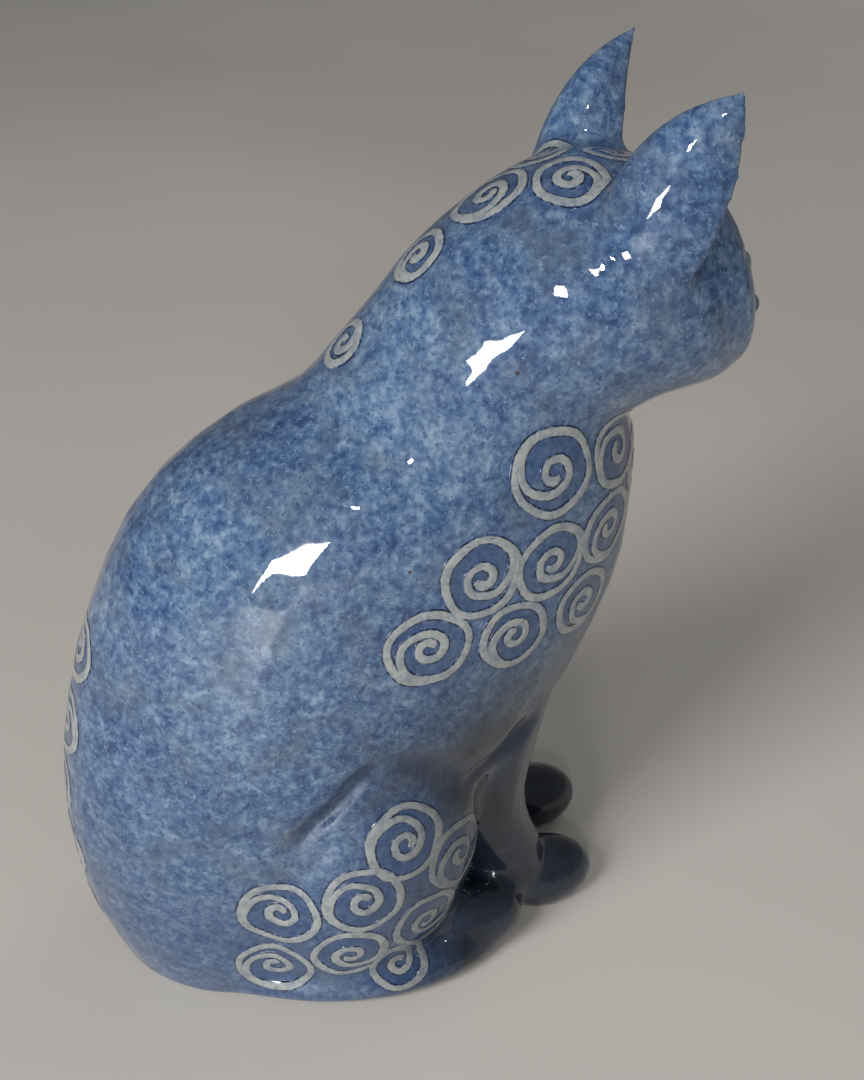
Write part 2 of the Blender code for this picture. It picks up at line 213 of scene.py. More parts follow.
class Recipe:
    """A material's nodes."""

    def __init__(self, name):
        self.material = bpy.data.materials.new(name)
        self.material.use_nodes = True
        self.tree = self.material.node_tree
        self.shader = self.tree.nodes["Principled BSDF"]

    def node(self, kind, settings, inputs, output=0):
        made = self.tree.nodes.new(kind)
        for key, value in settings.items():
            if key == "stops":
                self.set_stops(made.color_ramp, value)
            else:
                setattr(made, key, value)
        for key, value in inputs.items():
            self.feed(made.inputs[key], value)
        return Wire(self, made.outputs[output])

    def feed(self, socket, value):
        if isinstance(value, Wire):
            self.tree.links.new(value.socket, socket)
        else:
            socket.default_value = value

    def set_stops(self, ramp, stops):
        while len(ramp.elements) < len(stops):
            ramp.elements.new(1.0)
        for element, (position, colour) in zip(ramp.elements, stops):
            element.position = position
            element.color = colour

    def finish(self, **sockets):
        for name, value in sockets.items():
            self.feed(self.shader.inputs[name.replace("_", " ")], value)
        return self.material

    # What the glazes are mixed from

    def place(self):
        return self.node("ShaderNodeTexCoord", {}, {}, "Object")

    def shift(self, where, by):
        """A place further on in a pattern's field, so that no two patterns line up."""
        return self.node("ShaderNodeVectorMath", {"operation": "ADD"}, {0: where, 1: by})

    def noise(self, where, size, detail=2.0, rough=0.5, twist=0.0):
        return self.node(
            "ShaderNodeTexNoise",
            {},
            {
                "Vector": where,
                "Scale": 1 / size,
                "Detail": detail,
                "Roughness": rough,
                "Distortion": twist,
            },
            "Fac",
        )

    def cells(self, where, size, output="Distance"):
        return self.node("ShaderNodeTexVoronoi", {}, {"Vector": where, "Scale": 1 / size}, output)

    def rise(self, value, low, high):
        """0 below low, 1 above high and a smooth rise between them."""
        return self.node(
            "ShaderNodeMapRange",
            {"interpolation_type": "SMOOTHSTEP"},
            {"Value": value, "From Min": low, "From Max": high, "To Min": 0.0, "To Max": 1.0},
        )

    def mark(self, name):
        return self.node("ShaderNodeAttribute", {"attribute_name": name}, {}, "Fac")

    def blend(self, amount, first, second):
        return self.node(
            "ShaderNodeMix",
            {"data_type": "RGBA"},
            {"Factor": amount, 6: first, 7: second},
            2,
        )

    def ramp(self, value, stops):
        return self.node("ShaderNodeValToRGB", {"stops": stops}, {"Fac": value})

    def relief(self, height, depth, normal=None):
        inputs = {"Height": height, "Distance": depth, "Strength": 1.0}
        if normal:
            inputs["Normal"] = normal
        return self.node("ShaderNodeBump", {}, inputs)


def tint(red, green, blue):
    """A colour given from 0 to 255 a channel, as the shader takes it."""
    channels = []
    for channel in (red, green, blue):
        level = channel / 255
        channels.append(level / 12.92 if level <= 0.04045 else ((level + 0.055) / 1.055) ** 2.4)
    return (*channels, 1.0)


INK_BLUE = tint(16, 26, 52)
DEEP_BLUE = tint(38, 60, 96)
MID_BLUE = tint(62, 86, 120)
SOFT_BLUE = tint(84, 106, 134)
PALE_BLUE = tint(118, 138, 158)
SMOKE = tint(78, 88, 98)
# Smoked glaze and painted shade for the forelegs, paws and front of the thighs
SMOKE_AND_SHADE_BLACK = tint(22, 26, 34)
WARM_GREY = tint(140, 140, 138)
SLIP_WHITE = tint(148, 151, 149)
SLIP_SHADE = tint(112, 120, 129)
IRON = tint(48, 34, 26)
DARK_CLAY = tint(150, 130, 104)
BUFF_CLAY = tint(186, 168, 140)
PALE_CLAY = tint(208, 194, 168)
FLOOR_GREY = tint(186, 181, 174)
FLOOR_PALE = tint(196, 191, 184)


def mottled_blue(recipe, where):
    """Oxide speckle under a clear glaze: crisp grains, soft blots and slow drifts."""
    grains = recipe.noise(recipe.shift(where, (0.3, 0.1, 0.2)), GRAIN_SIZE, 3.0, 0.62, 0.3)
    blots = recipe.noise(where, BLOT_SIZE, 2.0, 0.6, 0.4)
    drifts = recipe.noise(recipe.shift(where, (0.7, 0.4, 0.9)), DRIFT_SIZE, 2.0, 0.5, 0.5)
    level = grains * 0.55 + blots * 0.45 + (drifts - 0.5) * 0.26
    blue = recipe.ramp(
        level,
        (
            (0.36, DEEP_BLUE),
            (0.46, MID_BLUE),
            (0.55, SOFT_BLUE),
            (0.68, PALE_BLUE),
        ),
    )
    smoke_patch = recipe.noise(recipe.shift(where, (0.2, 0.8, 0.5)), SMOKE_SIZE, 3.0, 0.6, 0.4)
    blue = recipe.blend(recipe.rise(smoke_patch, 0.46, 0.70) * 0.45, blue, SMOKE)
    flecks = recipe.noise(recipe.shift(where, (0.9, 0.2, 0.6)), FLECK_SIZE, 1.0, 0.5, 0.8)
    blue = recipe.blend(recipe.rise(flecks, 0.64, 0.70) * 0.5, blue, PALE_BLUE)
    dots = recipe.noise(recipe.shift(where, (0.5, 0.6, 0.1)), DOT_SIZE, 1.0, 0.5)
    return recipe.blend(recipe.rise(dots, 0.63, 0.70) * 0.65, blue, DEEP_BLUE)


def glaze_relief(recipe, where):
    """The slow waves and fine orange peel of a thick glaze."""
    waves = recipe.noise(where, WAVE_SIZE, 3.0, 0.6, 0.5)
    peel = recipe.noise(where, PEEL_SIZE, 2.0, 0.5)
    return recipe.relief(waves, WAVE_DEPTH, recipe.relief(peel, PEEL_DEPTH))


def fired(recipe, where, colour):
    """A colour under a thick clear glaze, duller in patches."""
    dull = recipe.noise(recipe.shift(where, (0.4, 0.9, 0.3)), DULL_SIZE, 3.0, 0.6)
    return recipe.finish(
        Base_Color=colour,
        Roughness=GLOSS_ROUGHNESS + recipe.rise(dull, 0.45, 0.75) * DULL_ROUGHNESS,
        Specular_IOR_Level=UNDERGLAZE_SPECULAR,
        Coat_Weight=1.0,
        Coat_Roughness=COAT_ROUGHNESS,
        Normal=glaze_relief(recipe, where),
    )


def iron_spots(recipe, where):
    """Small round spots, in a few cells of an even scatter."""
    edge = recipe.cells(where, IRON_SPACING)
    cell_colour = recipe.cells(where, IRON_SPACING, "Color")
    choice = recipe.node("ShaderNodeSeparateColor", {}, {"Color": cell_colour}, "Red")
    return (1 - recipe.rise(edge, *IRON_EDGE)) * recipe.rise(choice, *IRON_CHOICE)


def blue_glaze():
    """Speckled blue, with painted shade towards the foot, dark glaze and painted shade in the
    grooves, darker where it pools, smoked glaze and painted shade on the front legs, and grey where
    thin.
    """
    recipe = Recipe("speckled_blue_glaze")
    where = recipe.place()
    height = recipe.node("ShaderNodeSeparateXYZ", {}, {"Vector": where}, "Z")
    smoke_and_shade_drift = recipe.noise(recipe.shift(where, (0.6, 0.7, 0.3)), SMOKE_AND_SHADE_DRIFT_SIZE, 3.0, 0.6)
    patchy = recipe.noise(recipe.shift(where, (0.1, 0.3, 0.8)), THIN_PATCH_SIZE, 2.0, 0.6)
    colour = mottled_blue(recipe, where)
    for amount, over in (
        # Painted shade, darker towards the foot
        ((1 - recipe.rise(height, *FOOT_SHADE)) * 0.38, DEEP_BLUE),
        # Smoked glaze and painted shade on the forelegs, paws and front of the thighs
        (recipe.mark("smoked") * (0.75 + smoke_and_shade_drift * 0.5) * 0.92, SMOKE_AND_SHADE_BLACK),
        (recipe.mark("within_spiral") * 0.55, DEEP_BLUE),
        # Dark glaze and painted shade in the grooves, and darker glaze round the eyes and nose
        (recipe.mark("shade") * 0.80, INK_BLUE),
        (recipe.mark("pooled") * 0.85, INK_BLUE),
        (recipe.mark("thin") * recipe.rise(patchy, 0.30, 0.60) * 0.7, WARM_GREY),
        (iron_spots(recipe, where) * 0.9, IRON),
    ):
        colour = recipe.blend(amount, colour, over)
    return fired(recipe, where, colour)


def white_slip():
    """Trailed white slip that turns to blue at its edges, where dark oxide gathers in dots."""
    recipe = Recipe("glazed_white_slip")
    where = recipe.place()
    stain = recipe.noise(where, STAIN_SIZE, 3.0, 0.6)
    white = recipe.blend(recipe.rise(stain, 0.38, 0.66) * 0.75, SLIP_WHITE, SLIP_SHADE)
    specks = recipe.noise(recipe.shift(where, (0.8, 0.3, 0.1)), SPECK_SIZE, 1.0, 0.5)
    white = recipe.blend(recipe.rise(specks, 0.62, 0.70) * 0.45, white, MID_BLUE)
    dots = recipe.noise(recipe.shift(where, (0.6, 0.1, 0.4)), EDGE_DOT_SIZE, 1.0, 0.5)
    blue = recipe.blend(0.45, mottled_blue(recipe, where), DEEP_BLUE)
    blue = recipe.blend(recipe.rise(dots, 0.40, 0.52) * 0.95, blue, INK_BLUE)
    ragged = recipe.noise(recipe.shift(where, (0.2, 0.2, 0.7)), RAGGED_SIZE, 2.0, 0.6)
    uneven_edge = recipe.mark("edge") + (ragged - 0.5) * 0.42
    colour = recipe.blend(recipe.rise(uneven_edge, *SLIP_EDGE), white, blue)
    # The slip takes the smoked glaze and painted shade too
    colour = recipe.blend(recipe.mark("smoked") * 0.6, colour, SMOKE_AND_SHADE_BLACK)
    return fired(recipe, where, colour)


def bare_clay():
    recipe = Recipe("bare_stoneware")
    where = recipe.place()
    grog = recipe.noise(where, GROG_SIZE, 3.0, 0.6)
    cloud = recipe.noise(recipe.shift(where, (0.5, 0.5, 0.5)), CLOUD_SIZE, 2.0, 0.5)
    return recipe.finish(
        Base_Color=recipe.ramp(
            grog * 0.6 + cloud * 0.4, ((0.35, DARK_CLAY), (0.50, BUFF_CLAY), (0.66, PALE_CLAY))
        ),
        Roughness=0.78 + grog * 0.15,
        Normal=recipe.relief(grog, GROG_DEPTH),
    )


def pale_floor():
    recipe = Recipe("pale_floor")
    where = recipe.place()
    cloud = recipe.noise(where, FLOOR_CLOUD_SIZE, 2.0, 0.5)
    return recipe.finish(
        Base_Color=recipe.ramp(cloud, ((0.3, FLOOR_GREY), (0.7, FLOOR_PALE))),
        Roughness=0.45,
    )


# --- The clay body ----------------------------------------------------------------------


def share(value, none, full):
    """How far a value is on its way from none to full, from 0 to 1."""
    return min(1.0, max(0.0, (value - none) / (full - none)))


def add_mark(piece, name, values):
    """Stores a value for each vertex, for the glaze to read."""
    piece.data.attributes.new(name, "FLOAT", "POINT").data.foreach_set("value", values)


def bmesh_object(name, bm, material=None):
    mesh = bpy.data.meshes.new(name)
    bm.to_mesh(mesh)
    bm.free()
    piece = bpy.data.objects.new(name, mesh)
    bpy.context.collection.objects.link(piece)
    if material:
        mesh.materials.append(material)
    return piece


def settle(piece):
    """Makes a piece's modifiers part of its mesh."""
    graph = bpy.context.evaluated_depsgraph_get()
    mesh = bpy.data.meshes.new_from_object(piece.evaluated_get(graph))
    piece.modifiers.clear()
    old = piece.data
    piece.data = mesh
    bpy.data.meshes.remove(old)
    return piece


def clay_copy(node):
    """A node's solid with its loose triangles joined."""
    bm = bmesh.new()
    bm.from_mesh(frame["nodes"][node].data)
    bmesh.ops.remove_doubles(bm, verts=bm.verts, dist=WELD)
    bm.normal_update()
    return bm


def swell(bm, by):
    for vert, out in [(vert, vert.normal.copy()) for vert in bm.verts]:
        vert.co += out * by


def slab_without_vent():
    """The base slab's outline with its vent filled, to close the body while it is worked."""
    bm = clay_copy("base_slab")
    hull = bmesh.ops.convex_hull(bm, input=bm.verts[:])
    kept = {item for item in hull["geom"] if isinstance(item, bmesh.types.BMFace)}
    bmesh.ops.delete(bm, geom=[face for face in bm.faces if face not in kept], context="FACES")
    bmesh.ops.recalc_face_normals(bm, faces=bm.faces)
    bm.normal_update()
    return bm


def clay_pieces():
    for node in CLAY_NODES:
        yield node, clay_copy(node)
    yield "base_slab", slab_without_vent()


def add_sponge(body, passes):
    sponge = body.modifiers.new("sponge", "SMOOTH")
    sponge.factor = SPONGE_FACTOR
    sponge.iterations = passes
    return sponge


def joined_clay():
    """All the clay pieces pressed together into one body."""
    bm = bmesh.new()
    for node, piece in clay_pieces():
        swell(piece, LUTE)
        mesh = bpy.data.meshes.new(node)
        piece.to_mesh(mesh)
        piece.free()
        bm.from_mesh(mesh)
        bpy.data.meshes.remove(mesh)
    body = bmesh_object("clay_body", bm)
    remesh = body.modifiers.new("clay grain", "REMESH")
    remesh.mode = "VOXEL"
    remesh.voxel_size = CLAY_GRAIN
    add_sponge(body, SPONGE_PASSES)
    return drop_cavity(settle(body))


def drop_cavity(body):
    """Removes the wall of the sealed hollow and keeps the outside."""
    bm = bmesh.new()
    bm.from_mesh(body.data)
    top = max(bm.verts, key=lambda vert: vert.co.z)
    outside = {top}
    reached = [top]
    while reached:
        for edge in reached.pop().link_edges:
            for vert in edge.verts:
                if vert not in outside:
                    outside.add(vert)
                    reached.append(vert)
    bmesh.ops.delete(bm, geom=[vert for vert in bm.verts if vert not in outside], context="VERTS")
    bm.to_mesh(body.data)
    bm.free()
    return body


def node_trees():
    trees = {}
    for node, bm in clay_pieces():
        trees[node] = BVHTree.FromBMesh(bm)
        bm.free()
    return trees


def sort_by_node(body, trees):
    """The node each vertex belongs to, and how near it is to a joint, from 0 to 1."""
    owners = []
    joints = []
    for vert in body.data.vertices:
        near = []
        for node, tree in trees.items():
            distance = tree.find_nearest(vert.co, JOINT_REACH)[3]
            if distance is not None:
                near.append((distance, node))
        near.sort()
        owners.append(near[0][1])
        joints.append(1 - near[1][0] / JOINT_REACH if len(near) > 1 else 0.0)
    return owners, joints


def sponge_joints(body, joints):
    group = body.vertex_groups.new(name="joints")
    for i, amount in enumerate(joints):
        if amount > 0:
            group.add((i,), min(1.0, JOINT_SPONGE_GAIN * amount), "REPLACE")
    add_sponge(body, JOINT_SPONGE_PASSES).vertex_group = group.name
    settle(body)
    body.vertex_groups.clear()


# Grooves pressed into the soft clay with a tool, on both sides: each has its half width
# and depth, how much dark glaze and painted shade lies in it, and its route as (y, z).
# All are in millimetres but the third.
GROOVES = {
    "thigh": (2.6, 2.2, 0.75, ((-17, 78), (-11, 74), (-5, 67), (0.5, 62), (6, 56))),
    "belly": (4.0, 1.6, 0.6, ((-17, 78), (-25, 75), (-32, 69), (-38, 62))),
    "elbow": (2.6, 1.8, 1.0, ((-39, 62), (-46, 63), (-52, 67), (-56, 71))),
    "mouth": (0.9, 0.9, 1.0, ((-99, 152.8), (-103.5, 154.2), (-108, 154.8), (-111.5, 155.2))),
    "eyelid": (0.9, 0.5, 1.0, ((-99.5, 180.2), (-102.5, 180.0), (-105, 178.2), (-106.8, 176))),
}
GROOVE_STEPS = 12
GROOVE_REACH = 2.5
GROOVE_RUN_IN = 3
GROOVE_RUN_OUT = 2
FAR_OUT = 0.3


def tree_of(body):
    bm = bmesh.new()
    bm.from_mesh(body.data)
    tree = BVHTree.FromBMesh(bm)
    bm.free()
    return tree


def from_the_side(tree, side, y, z):
    """The surface point at y and z, in millimetres, on the left (1) or the right (-1)."""
    return tree.ray_cast(Vector((side * FAR_OUT, y * MM, z * MM)), Vector((-side, 0, 0)))[0]


def smooth_route(points, count):
    """Points on a Catmull-Rom curve through the given points, count to a stretch."""
    ends = [2 * points[0] - points[1], *points, 2 * points[-1] - points[-2]]
    route = []
    for i in range(len(points) - 1):
        a, b, c, d = ends[i : i + 4]
        slope = c - a
        bend = 2 * a - 5 * b + 4 * c - d
        twist = 3 * b - a - 3 * c + d
        for k in range(count):
            u = k / count
            route.append(b + 0.5 * (slope * u + bend * u**2 + twist * u**3))
    route.append(points[-1])
    return route


def tree_of_points(points):
    tree = KDTree(len(points))
    for i, point in enumerate(points):
        tree.insert(point, i)
    tree.balance()
    return tree


def press_grooves(body):
    """Presses the grooves in, and marks the dark glaze and painted shade in and beside each."""
    tree = tree_of(body)
    moves = {}
    shades = [0.0] * len(body.data.vertices)
    for half_width, depth, dark, route in GROOVES.values():
        for side in (-1, 1):
            # A route may run on past the snout, where it has no seat
            seats = [from_the_side(tree, side, y, z) for y, z in route]
            line = smooth_route([seat for seat in seats if seat], GROOVE_STEPS)
            near = tree_of_points(line)
            whole_run = GROOVE_RUN_IN + len(line) + GROOVE_RUN_OUT
            for vert in body.data.vertices:
                if vert.co.x * side < 0:
                    continue
                _, place, distance = near.find(vert.co)
                widths_away = distance / (half_width * MM)
                if widths_away > GROOVE_REACH:
                    continue
                fade = math.sin(math.pi * (place + GROOVE_RUN_IN) / whole_run) ** 0.5
                near_line = fade * math.exp(-(widths_away**2))
                moves[vert.index] = max(moves.get(vert.index, 0), depth * MM * near_line)
                shades[vert.index] = max(shades[vert.index], dark * near_line)
    verts = body.data.vertices
    for vert, out, push in [(verts[i], verts[i].normal.copy(), push) for i, push in moves.items()]:
        vert.co -= out * push
    add_mark(body, "shade", shades)


def within_clay(tree, place, outward, most):
    """How far in from the surface, up to most, stays clear of a thin wall's far side."""
    _, leaving, _, through = tree.ray_cast(place - outward * JUST_INSIDE, -outward)
    if leaving is None or leaving.dot(outward) > 0:
        return 0.0
    return min(most, WALL_SHARE * through)


def fit_in_frame(body):
    """Draws the surface in by the thickness added for luting, and stands the foot flat."""
    tree = tree_of(body)
    moves = []
    for vert in body.data.vertices:
        moves.append(vert.normal * within_clay(tree, vert.co, vert.normal, LUTE + GLAZE_INSET))
    for vert, move in zip(body.data.vertices, moves):
        vert.co -= move
        if vert.co.z < FOOT_FLAT:
            vert.co.z = 0.0
    body.data.update()


def mark_smoke_and_shade(piece):
    """Marks the dark smoked glaze and painted shade of the forelegs, the paws and the front of the
    thighs.
    """
    amounts = []
    for vert in piece.data.vertices:
        amounts.append(share(vert.co.z, *SMOKE_AND_SHADE_DOWN) * share(vert.co.y, *SMOKE_AND_SHADE_FORWARD))
    add_mark(piece, "smoked", amounts)


def middle_of(verts):
    return sum((vert.co for vert in verts), Vector()) / len(verts)


def trim_barbs(body):
    """Smooths off single points that stand out from a thin rim."""
    bm = bmesh.new()
    bm.from_mesh(body.data)
    every_way = {"use_axis_x": True, "use_axis_y": True, "use_axis_z": True}
    for _ in range(BARB_PASSES):
        barbs = []
        for vert in bm.verts:
            middle = middle_of([edge.other_vert(vert) for edge in vert.link_edges])
            if (middle - vert.co).length > BARB:
                barbs.append(vert)
        bmesh.ops.smooth_vert(bm, verts=barbs, factor=1.0, **every_way)
    bm.to_mesh(body.data)
    bm.free()
    body.data.update()


def neighbour_mean(values, links):
    """Each vertex's mean of the values at the vertices it is linked to."""
    return [sum(values[j] for j in near) / len(near) for near in links]


def mark_hollows(body):
    """Marks the hollows where glaze pools and the sharp rims that it runs off."""
    mesh = body.data
    links = [[] for _ in mesh.vertices]
    for edge in mesh.edges:
        a, b = edge.vertices
        links[a].append(b)
        links[b].append(a)
    bends = []
    for vert, near in zip(mesh.vertices, links):
        middle = middle_of([mesh.vertices[j] for j in near])
        bends.append((middle - vert.co).dot(vert.normal) / CLAY_GRAIN**2 * MM)
    for _ in range(BEND_PASSES):
        bends = neighbour_mean(bends, links)
    add_mark(body, "pooled", [share(bend, *POOLED_BEND) for bend in bends])
    add_mark(body, "thin", [share(-bend, *THIN_BEND) for bend in bends])


# --- Spirals ----------------------------------------------------------------------------

# Each spiral has the two places of its seat and its outer radius, in millimetres, the
# angle in degrees at which its inner end starts, and the turns inside its outer ring,
# which are below 0 when it turns clockwise. Seats are (y, z) seen from the side, (x, y)
# from above and (x, z) from behind or in front.
CHEST = (
    (-56.5, 141, 10.8, -30, -1.6),
    (-74.5, 139.5, 9.8, 80, 1.4),
    (-73, 121, 9.8, 120, 1.5),
    (-56.8, 119.5, 10.0, 200, 1.6),
    (-39.8, 121, 10.2, 180, 1.7),
    (-67, 103.5, 9.2, 160, 1.5),
    (-48, 103.5, 9.4, 60, 1.6),
    (-27.5, 106.5, 10.2, 0, 1.8),
)
HIP = (
    (-21, 54.5, 10.6, -60, 1.7),
    (-35.5, 43.5, 10.6, 90, 1.5),
    (-10.3, 40, 10.6, 10, 1.6),
    (8.8, 36, 10.6, 0, 1.6),
    (-26.5, 25.8, 10.0, 200, 1.6),
    (-7, 20.8, 10.0, 180, 1.6),
    (10.3, 15.0, 10.0, 30, 1.6),
    (-19.5, 11.5, 8.4, 0, 1.4),
)
NAPE = (
    (1, -19, 6.5, 40, 1.2),
    (1, -35, 7.2, 200, 1.4),
    (2, -50, 9.0, 120, -1.6),
    (-7, -64, 8.4, 150, -1.6),
    (10, -64, 7.8, 20, 1.5),
    (2.5, -77, 6.6, 90, 1.2),
)
LOWER_BACK = (
    (0, 96, 8.6, 20, 1.5),
    (-1, 77, 9.0, 160, -1.6),
    (1, 58, 8.8, 60, 1.5),
    (-1, 39, 9.2, 210, 1.6),
    (0, 20, 8.8, 120, -1.4),
)
BREAST = (
    (-9, 131, 8.6, 40, 1.4),
    (9, 128, 8.4, 160, -1.4),
    (0, 112, 9.0, 250, 1.5),
)

# Where each view looks from, and which way
VIEWS = {
    "right": lambda a, b: (Vector((-FAR_OUT, a * MM, b * MM)), Vector((1, 0, 0))),
    "left": lambda a, b: (Vector((FAR_OUT, a * MM, b * MM)), Vector((-1, 0, 0))),
    "above": lambda a, b: (Vector((a * MM, b * MM, FAR_OUT)), Vector((0, 0, -1))),
    "behind": lambda a, b: (Vector((a * MM, FAR_OUT, b * MM)), Vector((0, -1, 0))),
    "front": lambda a, b: (Vector((a * MM, -FAR_OUT, b * MM)), Vector((0, 1, 0))),
}


# How far off level a surface must be for its own up to point to the sky
STEEP_ENOUGH = 0.3


class Seat:
    """A place on the glazed surface, with right and up as someone facing it sees them."""

    def __init__(self, tree, view, a, b):
        start, towards = VIEWS[view](a, b)
        self.tree = tree
        self.middle, self.out = tree.ray_cast(start, towards)[:2]
        up = Vector((0, 0, 1)) - self.out * self.out.z
        if up.length < STEEP_ENOUGH:
            up = Vector((0, -1, 0)) - self.out * -self.out.y
        self.up = up.normalized()
        self.right = self.up.cross(self.out)

    def walk(self, right, up):
        """The surface point and outward direction reached by walking so far to the right and up."""
        course = self.right * right + self.up * up
        distance = course.length
        if distance == 0:
            return self.middle, self.out
        course.normalize()
        steps = math.ceil(distance / WALK_STEP)
        here, out = self.middle, self.out
        for _ in range(steps):
            here, out = self.tree.find_nearest(here + course * distance / steps)[:2]
            course = (course - out * course.dot(out)).normalized()
        return here, out


def spiral_line(radius, start, turns, rng):
    """A hand-drawn spiral from its inner end out to a ring that closes on itself."""
    hand = math.copysign(1, turns)
    inner = abs(turns) * 2 * math.pi
    total = inner + 2 * math.pi
    slow, quick, inward = (rng.uniform(0, 2 * math.pi) for _ in range(3))
    squash = rng.uniform(*SQUASH)
    points = []
    for i in range(LINE_POINTS + 1):
        turned = total * i / LINE_POINTS
        grow = min(1.0, turned / inner)
        join = share(grow, JOIN_FROM, 1.0)
        reach = END_RADIUS_SHARE + (INNER_RING_SHARE - END_RADIUS_SHARE) * grow
        reach += (1 - INNER_RING_SHARE) * join * join * (3 - 2 * join)
        angle = math.radians(start) + hand * turned
        waver = SLOW_WAVER * math.sin(2 * angle + slow) + QUICK_WAVER * math.sin(5 * angle + quick)
        waver += INNER_WAVER * math.sin(INNER_WAVER_PACE * turned + inward) * (1 - grow)
        reach *= radius * (1 + waver)
        points.append(Vector((reach * math.cos(angle) * squash, reach * math.sin(angle) / squash)))
    return points


def lengths_along(points):
    run = [0.0]
    for a, b in zip(points, points[1:]):
        run.append(run[-1] + (b - a).length)
    return run


class Line:
    """A drawn line that gives its point and direction at any length along it."""

    def __init__(self, points):
        self.points = points
        self.run = lengths_along(points)
        self.length = self.run[-1]

    def at(self, length):
        i = 0
        while i < len(self.run) - 2 and self.run[i + 1] < length:
            i += 1
        a, b = self.points[i], self.points[i + 1]
        return a.lerp(b, share(length, self.run[i], self.run[i + 1])), (b - a).normalized()


def trail_spiral(bm, edge, seat, radius, start, turns, rng):
    """Lays one slip line on the surface: a low rounded strip that follows the clay."""
    full_width = LINE_HALF_WIDTH + EDGE_HALF_WIDTH
    line = Line(spiral_line(radius - full_width, start, turns, rng))
    phase = rng.uniform(0, 2 * math.pi)
    steps = math.ceil(line.length / LINE_STEP)
    strip = bmesh.ops.create_grid(bm, x_segments=steps, y_segments=LINE_STRIPS, size=1.0)
    for vert in strip["verts"]:
        along = (vert.co.x + 1) / 2 * line.length
        across = vert.co.y
        point, towards = line.at(along)
        from_end = min(along, line.length - along)
        thick = 1 + THICKENING * math.sin(along / THICKENING_PACE + phase)
        thick += END_BLOB * math.exp(-along / END_BLOB_REACH)
        half = full_width * thick
        if from_end < half:
            half *= math.sqrt(max(LEAST_END, 1 - (1 - from_end / half) ** 2))
        aside = Vector((-towards.y, towards.x)) * half * across
        on_clay, out = seat.walk(*(point + aside))
        height = LINE_RELIEF * (1 - abs(across) ** LINE_ROUNDNESS) - LINE_BITE
        vert.co = on_clay + out * height
        vert[edge] = abs(across)


def spiral_group(name, tree, clusters, slip, seed):
    """Lays the spirals of some clusters as one piece. Also gives each one's middle and radius."""
    rng = random.Random(seed)
    bm = bmesh.new()
    edge = bm.verts.layers.float.new("edge")
    fields = []
    for view, spirals in clusters:
        for a, b, radius, start, turns in spirals:
            seat = Seat(tree, view, a, b)
            trail_spiral(bm, edge, seat, radius * MM, start, turns, rng)
            fields.append((seat.middle, radius * MM))
    bm.normal_update()
    faces_out(bm, tree)
    bmesh.ops.solidify(bm, geom=bm.faces[:], thickness=LINE_ROOT)
    bmesh.ops.recalc_face_normals(bm, faces=bm.faces)
    piece = bmesh_object(name, bm, slip)
    piece.data.shade_smooth()
    mark_smoke_and_shade(piece)
    return piece, fields


def faces_out(bm, tree):
    """Turns each face of a strip away from the clay under it."""
    turned = []
    for face in bm.faces:
        middle = face.calc_center_median()
        if face.normal.dot(tree.find_nearest(middle)[1]) < 0:
            turned.append(face)
    bmesh.ops.reverse_faces(bm, faces=turned)


def mirrored(spirals):
    """The same spirals as they lie on the other side."""
    return tuple((a, b, radius, 180 - start, -turns) for a, b, radius, start, turns in spirals)


def mark_fields(body, fields):
    """Marks the clay inside each spiral, where the oxide wash is darker."""
    near = tree_of_points([middle for middle, _ in fields])
    outer, inner = FIELD_EDGE
    shades = []
    for vert in body.data.vertices:
        shade = 0.0
        for _, i, distance in near.find_n(vert.co, NEAR_FIELDS):
            radius = fields[i][1]
            shade = max(shade, share(distance, radius + outer, radius + inner))
        shades.append(shade)
    add_mark(body, "within_spiral", shades)


# --- Splitting the finished body back into its pieces -------------------------------------


def part_out(body, owners, tree, glaze):
    """Parts the body along its joints into one closed piece for each clay node."""
    mesh = body.data
    normals = mesh.attributes.new("surface_normal", "FLOAT_VECTOR", "POINT")
    flat = []
    for vert in mesh.vertices:
        flat.extend(vert.normal)
    normals.data.foreach_set("vector", flat)
    mesh.materials.clear()
    names = (*CLAY_NODES, "base_slab")
    for node in names:
        mesh.materials.append(bpy.data.materials.new("sort_" + node))
    order = {node: i for i, node in enumerate(names)}
    for face in mesh.polygons:
        votes = [owners[i] for i in face.vertices]
        face.material_index = order[max(sorted(set(votes)), key=votes.count)]
    for obj in bpy.context.selected_objects:
        obj.select_set(False)
    body.select_set(True)
    bpy.context.view_layer.objects.active = body
    before = set(bpy.context.scene.objects)
    bpy.ops.object.mode_set(mode="EDIT")
    bpy.ops.mesh.select_all(action="SELECT")
    bpy.ops.mesh.separate(type="MATERIAL")
    bpy.ops.object.mode_set(mode="OBJECT")
    pieces = {}
    parted = [piece for piece in bpy.context.scene.objects if piece not in before]
    for piece in [body, *parted]:
        used = piece.data.polygons[0].material_index
        node = piece.data.materials[used].name.removeprefix("sort_")
        if node == "base_slab":
            bpy.data.objects.remove(piece)
            continue
        piece.name = "glazed_" + node
        close_piece(piece, tree)
        piece.data.materials.clear()
        piece.data.materials.append(glaze)
        pieces[node] = piece
    for material in [m for m in bpy.data.materials if m.name.startswith("sort_")]:
        bpy.data.materials.remove(material)
    return pieces


def close_piece(piece, tree):
    """Gives a piece its thickness and keeps the whole body's smooth shading on it."""
    bm = bmesh.new()
    bm.from_mesh(piece.data)
    outward = bm.verts.layers.float_vector["surface_normal"]
    inner_verts = bm.verts[:]
    # The operator turns the kept faces round, as the inner side of a wall needs
    bmesh.ops.extrude_face_region(bm, geom=bm.faces[:], use_keep_orig=True)
    for vert in inner_verts:
        vert.co -= vert[outward] * within_clay(tree, vert.co, vert[outward], CLAY_SKIN)
        vert[outward] = -vert[outward]
    for face in bm.faces:
        face.material_index = 0
        face.smooth = True
    bm.to_mesh(piece.data)
    bm.free()
    mesh = piece.data
    kept = mesh.attributes["surface_normal"].data
    mesh.normals_split_custom_set_from_vertices([normal.vector.copy() for normal in kept])
    mesh.attributes.remove(mesh.attributes["surface_normal"])


